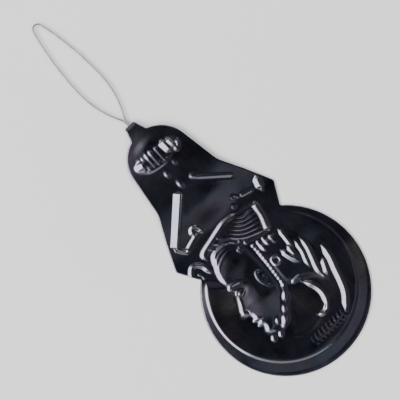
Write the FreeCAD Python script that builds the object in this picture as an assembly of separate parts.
# Needle threader: a stamped sheet handle with a fine wire loop clamped in its head.
#
# Frame, in millimetres: the origin is the centre of the disc, on the back of the
# handle. +Y runs along the handle to the tip of the wire loop, +X is to the right
# when the embossed front is seen, and +Z comes out of the front.
#
# The handle is one sheet in the real object. It is split at its fold into
# face_plate, nose_fold and back_flap. The wire is one length too, split where it
# leaves the clamp and where its loop flexes.
import FreeCAD, Part
import math
import os

V = FreeCAD.Vector

# ---- driving dimensions ----
SHEET = 0.30                # thickness of the stamped sheet
WIRE_R = 0.09               # radius of the spring wire
DISC_R = 9.0                # the disc that is held between finger and thumb
HEAD_R = 3.65               # the round head that clamps the wire
HEAD_Y = 18.95              # its centre, along the handle
LIFT = SHEET + 2 * WIRE_R   # how far the head steps forward, to leave room for flap and wire
RAMP = (9.4, 15.8)          # where along the handle that step begins and ends

WAIST_FOOT_X = 5.75         # where the waist leaves the disc
WING_TIP = (7.10, 9.30)     # the pointed wings of the waist
SHOULDER = (5.75, 12.20)
NECK = (4.30, 15.00)
CORNER_R = (0.35, 2.0, 3.0)  # rounding of wing tip, shoulder and neck

RIM_Y = 0.60                # centre of the raised rim, which is open towards the waist
RIM_INNER_R = 7.1
RIM_OUTER_R = 8.35
RIM_HEIGHT = 0.25
RIM_OPEN_DEG = 42.0         # half the opening, measured from +Y
RIM_ROOT = 0.05             # how far the rim is set into the sheet

RELIEF = 0.20               # how far the flat relief stands out
CAMEO_RELIEF = 0.28

RIDGES = 7                  # the crimp across the head
RIDGE_PITCH = 0.78
RIDGE_R = 0.24
RIDGE_ROOT = 0.03           # how far below the sheet's face a ridge has its axis
CRIMP_Y = (18.6, 20.4)

NOSE_BASE_Y = 22.2          # the tongue that folds over the top of the head
NOSE_TOP_Y = 23.9
NOSE_BASE_HALF = 1.20
NOSE_TOP_HALF = 0.60

FLAP_HALF = 2.40            # the folded end behind the head
FLAP_FOOT_Y = 16.2
FLAP_SHOULDER_Y = 20.9
FLAP_CORNER_R = 0.8

WIRE_X = 0.095              # each wire's distance from the middle where they leave the nose
WIRE_Z = SHEET + WIRE_R
TAIL_BEND_Y = (21.3, 19.0)  # the held ends splay apart between these
TAIL_END = (0.70, 17.4)
TAIL_BEND_R = 2.5
SLOT_HALF = 0.21            # half the width of the slot in the fold
SLOT_REACH = 1.0            # the slot starts inside the bend and runs out past it

LOOP_ROOT_Y = 24.3          # where the two wires begin to part
FLARE_R = 1.2               # the bend that turns them outwards
LEG_FOOT_Y = 25.0           # where the neck ends and the legs begin
LOOP_WIDE_Y = 29.8          # the loop's widest place
LOOP_HALF = 1.5             # half its width there
KNEE_Y = 31.0               # where each leg is split in two
LOOP_TIP_Y = 38.3
TIP_R = 0.55

FAR = 60.0                  # longer than the whole object


# ---- helpers ----
def on_circle(centre, radius, degrees):
    """A point on a circle in the XY plane, with the angle from +X."""
    a = math.radians(degrees)
    return V(centre.x + radius * math.cos(a), centre.y + radius * math.sin(a), centre.z)


def tangent_point(point, centre, radius):
    """Where the line from a point touches the +X side of a circle."""
    away = point - centre
    turn = math.acos(radius / away.Length)
    heading = math.atan2(away.y, away.x) + turn
    return on_circle(centre, radius, math.degrees(heading))


def mirrored(point):
    return V(-point.x, point.y, point.z)


def bent_path(points, radii):
    """Straight runs through the points, joined by tangent arcs of the given radii."""
    edges = []
    start = points[0]
    for before, corner, after, radius in zip(points, points[1:], points[2:], radii):
        to_before = (before - corner).normalize()
        to_after = (after - corner).normalize()
        half = to_before.getAngle(to_after) / 2
        setback = radius / math.tan(half)
        middle = (to_before + to_after).normalize()
        centre = corner + middle * (radius / math.sin(half))
        arc_start = corner + to_before * setback
        arc_end = corner + to_after * setback
        edges.append(Part.LineSegment(start, arc_start).toShape())
        edges.append(Part.Arc(arc_start, centre - middle * radius, arc_end).toShape())
        start = arc_end
    edges.append(Part.LineSegment(start, points[-1]).toShape())
    return edges


def prism(edges, bottom=-FAR, top=FAR):
    """The closed outline, pulled up from one height to another."""
    wire = Part.Wire(Part.__sortEdges__(edges))
    face = Part.Face(wire)
    face.translate(V(0, 0, bottom))
    return face.extrude(V(0, 0, top - bottom))


def polygon(points, bottom=-FAR, top=FAR):
    corners = [V(x, y, 0) for x, y in points]
    face = Part.Face(Part.makePolygon(corners + corners[:1]))
    face.translate(V(0, 0, bottom))
    return face.extrude(V(0, 0, top - bottom))


def ellipse_prism(centre, half_long, half_short, lean_deg):
    """An upright elliptical column whose long axis leans from +Y."""
    ellipse = Part.Ellipse(V(0, 0, 0), half_long, half_short).toShape()
    face = Part.Face(Part.Wire(ellipse))
    face.rotate(V(0, 0, 0), V(0, 0, 1), 90 + lean_deg)
    face.translate(V(centre[0], centre[1], -FAR))
    return face.extrude(V(0, 0, 2 * FAR))


def round_rod(path_edges, start, heading):
    """The wire along a path."""
    circle = Part.Circle(start, heading, WIRE_R).toShape()
    path = Part.Wire(Part.__sortEdges__(path_edges))
    return path.makePipeShell([Part.Wire(circle)], True, True)


# ---- the handle ----
def handle_outline():
    """Disc, notched waist and round head, as one closed outline."""
    disc = V(0, 0, 0)
    head = V(0, HEAD_Y, 0)
    foot = V(WAIST_FOOT_X, math.sqrt(DISC_R**2 - WAIST_FOOT_X**2), 0)
    neck = V(*NECK, 0)
    touch = tangent_point(neck, head, HEAD_R)
    side = [foot, V(*WING_TIP, 0), V(*SHOULDER, 0), neck, touch]
    other_side = [mirrored(p) for p in side]
    edges = [Part.Arc(other_side[0], on_circle(disc, DISC_R, -90), foot).toShape()]
    edges += bent_path(side, CORNER_R)
    edges.append(Part.Arc(touch, on_circle(head, HEAD_R, 90), other_side[-1]).toShape())
    edges += bent_path(other_side, CORNER_R)
    return edges


def stepped_slab(raised=0.0):
    """The sheet before it is cut out, with the step that carries the head forward."""
    near, far = RAMP
    under = [(-FAR, 0), (near, 0), (far, LIFT), (FAR, LIFT)]
    over = [(y, z + SHEET) for y, z in reversed(under)]
    corners = [V(-FAR, y, z + raised) for y, z in under + over]
    face = Part.Face(Part.makePolygon(corners + corners[:1]))
    return face.extrude(V(2 * FAR, 0, 0))


def rim():
    """The raised round-topped rim of the disc."""
    z = SHEET - RIM_ROOT
    inner = V(RIM_INNER_R, 0, z)
    crest = V((RIM_INNER_R + RIM_OUTER_R) / 2, 0, SHEET + RIM_HEIGHT)
    outer = V(RIM_OUTER_R, 0, z)
    edges = [Part.Arc(inner, crest, outer).toShape(), Part.LineSegment(outer, inner).toShape()]
    section = Part.Face(Part.Wire(edges))
    section.rotate(V(0, 0, 0), V(0, 0, 1), 90 + RIM_OPEN_DEG)
    bead = section.revolve(V(0, 0, 0), V(0, 0, 1), 360 - 2 * RIM_OPEN_DEG)
    return bead.translated(V(0, RIM_Y, 0))


def chevron():
    """The two slanting bars of the waist and the short returns below them."""
    bar = [(-1.30, 15.75), (-0.75, 15.15), (-5.15, 11.15), (-5.80, 11.70)]
    foot = [(-5.80, 11.70), (-5.15, 11.15), (-4.35, 10.45), (-4.85, 9.95), (-5.60, 10.80)]
    hook = [(-4.85, 9.95), (-4.35, 10.45), (-2.60, 11.15), (-2.45, 10.75)]
    shapes = []
    for side in (1, -1):
        for points in (bar, foot, hook):
            shapes.append(polygon([(side * x, y) for x, y in points]))
    return shapes


def cameo():
    """A plain head in a cap, as low pads. The oval has no features of its own."""
    oval = ellipse_prism((-2.0, 2.2), 4.3, 3.1, -6)
    cap = polygon([(-4.3, 7.6), (-3.6, 9.0), (0.0, 9.9), (3.9, 8.8), (3.2, 6.1), (0.4, 5.2)])
    hair = ellipse_prism((3.1, 0.9), 3.4, 2.0, 10)
    scarf = polygon([(-4.6, -2.9), (-2.2, -1.2), (0.6, 0.6), (3.6, -2.2), (3.0, -5.4), (-1.2, -5.8)])
    return [oval, cap, hair, scarf]


def crimp_ridges():
    """Short half-round ridges where the head is pressed onto the wire."""
    length = CRIMP_Y[1] - CRIMP_Y[0]
    z = LIFT + SHEET - RIDGE_ROOT
    ridges = []
    for i in range(RIDGES):
        x = (i - (RIDGES - 1) / 2) * RIDGE_PITCH
        ridges.append(Part.makeCylinder(RIDGE_R, length, V(x, CRIMP_Y[0], z), V(0, 1, 0)))
    return ridges


def face_plate():
    outline = prism(handle_outline())
    plate = stepped_slab().common(outline)
    relief = [stepped_slab(RELIEF).common(shape) for shape in chevron()]
    relief += [stepped_slab(CAMEO_RELIEF).common(shape) for shape in cameo()]
    relief.append(rim())
    relief += crimp_ridges()
    return plate.fuse(relief).removeSplitter()


def nose_fold():
    """The tongue, folded over the top of the head and back, with a slot for the wire."""
    outer_r = SHEET + WIRE_R
    bend_y = NOSE_TOP_Y - outer_r
    mid_z = SHEET + WIRE_R

    def at(y, z):
        return V(-FAR, y, z)

    edges = [
        Part.LineSegment(at(NOSE_BASE_Y, 0), at(bend_y, 0)).toShape(),
        Part.Arc(at(bend_y, 0), at(NOSE_TOP_Y, mid_z), at(bend_y, 2 * mid_z)).toShape(),
        Part.LineSegment(at(bend_y, 2 * mid_z), at(NOSE_BASE_Y, 2 * mid_z)).toShape(),
        Part.LineSegment(at(NOSE_BASE_Y, 2 * mid_z), at(NOSE_BASE_Y, LIFT)).toShape(),
        Part.LineSegment(at(NOSE_BASE_Y, LIFT), at(bend_y, LIFT)).toShape(),
        Part.Arc(at(bend_y, LIFT), at(bend_y + WIRE_R, mid_z), at(bend_y, SHEET)).toShape(),
        Part.LineSegment(at(bend_y, SHEET), at(NOSE_BASE_Y, SHEET)).toShape(),
        Part.LineSegment(at(NOSE_BASE_Y, SHEET), at(NOSE_BASE_Y, 0)).toShape(),
    ]
    strip = Part.Face(Part.Wire(edges)).extrude(V(2 * FAR, 0, 0))
    tongue = polygon([
        (-NOSE_BASE_HALF, NOSE_BASE_Y), (NOSE_BASE_HALF, NOSE_BASE_Y),
        (NOSE_TOP_HALF, NOSE_TOP_Y), (-NOSE_TOP_HALF, NOSE_TOP_Y),
    ])
    fold = strip.common(tongue)
    head = Part.makeCylinder(HEAD_R, SHEET, V(0, HEAD_Y, LIFT))
    slot = Part.makeBox(2 * SLOT_HALF, SLOT_REACH, 2 * WIRE_R, V(-SLOT_HALF, bend_y, SHEET))
    return fold.cut(head).cut(slot)


def back_flap():
    side = [
        V(0, FLAP_FOOT_Y, 0), V(FLAP_HALF, FLAP_FOOT_Y, 0), V(FLAP_HALF, FLAP_SHOULDER_Y, 0),
        V(NOSE_BASE_HALF, NOSE_BASE_Y, 0),
    ]
    other_side = [mirrored(p) for p in side]
    radii = (FLAP_CORNER_R, FLAP_CORNER_R)
    edges = bent_path(side, radii) + bent_path(other_side, radii)
    edges.append(Part.LineSegment(side[-1], other_side[-1]).toShape())
    return prism(edges, 0, SHEET)


# ---- the wire ----
def wire_tail(side):
    """One end of the wire, held between flap and head."""
    points = [
        V(side * WIRE_X, NOSE_TOP_Y, WIRE_Z), V(side * WIRE_X, TAIL_BEND_Y[0], WIRE_Z),
        V(side * TAIL_END[0], TAIL_BEND_Y[1], WIRE_Z), V(side * TAIL_END[0], TAIL_END[1], WIRE_Z),
    ]
    path = bent_path(points, (TAIL_BEND_R, TAIL_BEND_R))
    return round_rod(path, points[0], V(0, -1, 0))


def on_loop(centre, radius, degrees, side):
    """A point of the loop, on the +X leg or its mirror image."""
    point = on_circle(centre, radius, degrees)
    return point if side > 0 else mirrored(point)


def loop_arc(centre, radius, start, end, side):
    points = [on_loop(centre, radius, a, side) for a in (start, (start + end) / 2, end)]
    return Part.Arc(*points).toShape()


def low_flank():
    """Centre, radius and starting angle of the arc that carries a leg to its widest place."""
    spread = LOOP_HALF - WIRE_X
    rise = LOOP_WIDE_Y - LOOP_ROOT_Y
    turn = 2 * math.atan(spread / rise)
    radius = rise / math.sin(turn) - FLARE_R
    return V(LOOP_HALF - radius, LOOP_WIDE_Y, WIRE_Z), radius, math.degrees(turn)


def high_flank():
    """Centre and radius of the arc that carries a leg from its widest place to the tip."""
    rise = LOOP_TIP_Y - TIP_R - LOOP_WIDE_Y
    radius = (LOOP_HALF**2 + rise**2 - TIP_R**2) / (2 * (LOOP_HALF - TIP_R))
    return V(LOOP_HALF - radius, LOOP_WIDE_Y, WIRE_Z), radius


def height_angle(centre, radius, y):
    """Where on a flank arc the leg reaches a height."""
    return math.degrees(math.asin((y - centre.y) / radius))


def neck_wire(side):
    centre, radius, turn = low_flank()
    foot = height_angle(centre, radius, LEG_FOOT_Y)
    flare_centre = V(WIRE_X + FLARE_R, LOOP_ROOT_Y, WIRE_Z)
    start = V(side * WIRE_X, NOSE_TOP_Y, WIRE_Z)
    straight_end = V(side * WIRE_X, LOOP_ROOT_Y, WIRE_Z)
    path = [
        Part.LineSegment(start, straight_end).toShape(),
        loop_arc(flare_centre, FLARE_R, 180, 180 - turn, side),
        loop_arc(centre, radius, -turn, foot, side),
    ]
    return round_rod(path, start, V(0, 1, 0))


def wire_neck():
    """The pair of wires standing out of the nose and starting to part."""
    return Part.makeCompound([neck_wire(-1), neck_wire(1)])


def loop_leg_lower(side):
    """From the neck past the widest place of the loop, two tangent arcs."""
    low_centre, low_radius, _ = low_flank()
    high_centre, high_radius = high_flank()
    foot = height_angle(low_centre, low_radius, LEG_FOOT_Y)
    knee = height_angle(high_centre, high_radius, KNEE_Y)
    path = [
        loop_arc(low_centre, low_radius, foot, 0, side),
        loop_arc(high_centre, high_radius, 0, knee, side),
    ]
    start = on_loop(low_centre, low_radius, foot, side)
    heading = V(-side * math.sin(math.radians(foot)), math.cos(math.radians(foot)), 0)
    return round_rod(path, start, heading)


def loop_leg_upper(side):
    """The rest of the leg and half of the loop's tip, two tangent arcs."""
    centre, radius = high_flank()
    knee = height_angle(centre, radius, KNEE_Y)
    tip_centre = V(0, LOOP_TIP_Y - TIP_R, WIRE_Z)
    turn = math.degrees(math.asin((tip_centre.y - centre.y) / (radius - TIP_R)))
    path = [
        loop_arc(centre, radius, knee, turn, side),
        loop_arc(tip_centre, TIP_R, turn, 90, side),
    ]
    start = on_loop(centre, radius, knee, side)
    heading = V(-side * math.sin(math.radians(knee)), math.cos(math.radians(knee)), 0)
    return round_rod(path, start, heading)


PARTS = {
    "face_plate": face_plate(),
    "nose_fold": nose_fold(),
    "back_flap": back_flap(),
    "wire_tail_left": wire_tail(-1),
    "wire_tail_right": wire_tail(1),
    "wire_neck": wire_neck(),
    "loop_left_lower": loop_leg_lower(-1),
    "loop_right_lower": loop_leg_lower(1),
    "loop_left_upper": loop_leg_upper(-1),
    "loop_right_upper": loop_leg_upper(1),
}

os.makedirs("parts", exist_ok=True)
for name, shape in PARTS.items():
    shape.exportStep(f"parts/{name}.step")
    print(name, "valid" if shape.isValid() else "INVALID", len(shape.Solids), round(shape.Volume, 4))
